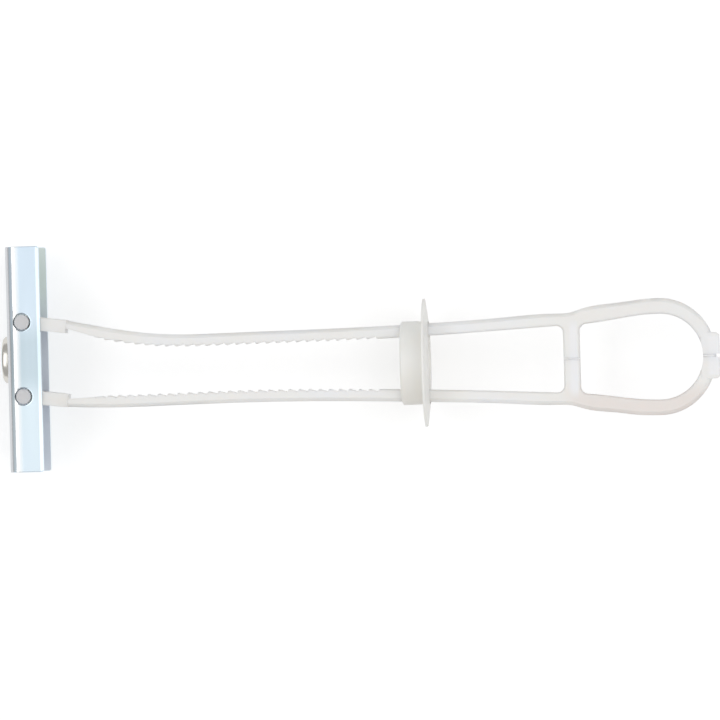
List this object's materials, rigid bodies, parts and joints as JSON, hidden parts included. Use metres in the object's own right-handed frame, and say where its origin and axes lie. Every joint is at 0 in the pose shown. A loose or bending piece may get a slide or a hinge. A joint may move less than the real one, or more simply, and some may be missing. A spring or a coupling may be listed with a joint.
{
  "type": "strap toggle anchor",
  "caption": "Hollow-wall anchor: steel channel with a threaded collar, hinged on ratchet straps that carry a sliding flanged cap and end in a pull ring.",
  "frame": {"origin": "centre of the threaded hole, on the inner face of the channel's web", "axes": "+X from the channel along the straps to the pull ring, +Y along the channel, +Z along the hinge pins"},
  "size_m": [0.1614, 0.0508, 0.0288],
  "materials": {
    "zinc_steel": "bright zinc plating with a bluish cast",
    "strap_plastic": "natural, slightly translucent moulded nylon",
    "cap_plastic": "warm ivory moulded nylon"
  },
  "bodies": {
    "right_strap": {"right_strap": "strap_plastic"},
    "channel": {"toggle_channel": "zinc_steel"},
    "left_strap": {"left_strap": "strap_plastic"},
    "cap": {"cap": "cap_plastic"}
  },
  "joints": [
    {"name": "channel_fold", "type": "hinge", "parent": "right_strap", "child": "channel", "pos_m": [0.0018, 0.00835, 0], "axis": [0, 0, -1], "range_deg": [0, 64]},
    {"name": "left_strap_fold", "type": "hinge", "parent": "channel", "child": "left_strap", "pos_m": [0.0018, -0.00835, 0], "axis": [0, 0, -1], "range_deg": [-62.72, 0]},
    {"name": "cap_slide", "type": "slide", "parent": "right_strap", "child": "cap", "axis": [-1, 0, 0], "range_m": [0, 0.061]}
  ],
  "couplings": [
    {"joint": "left_strap_fold", "follows": "channel_fold", "ratio": -0.98}
  ]
}
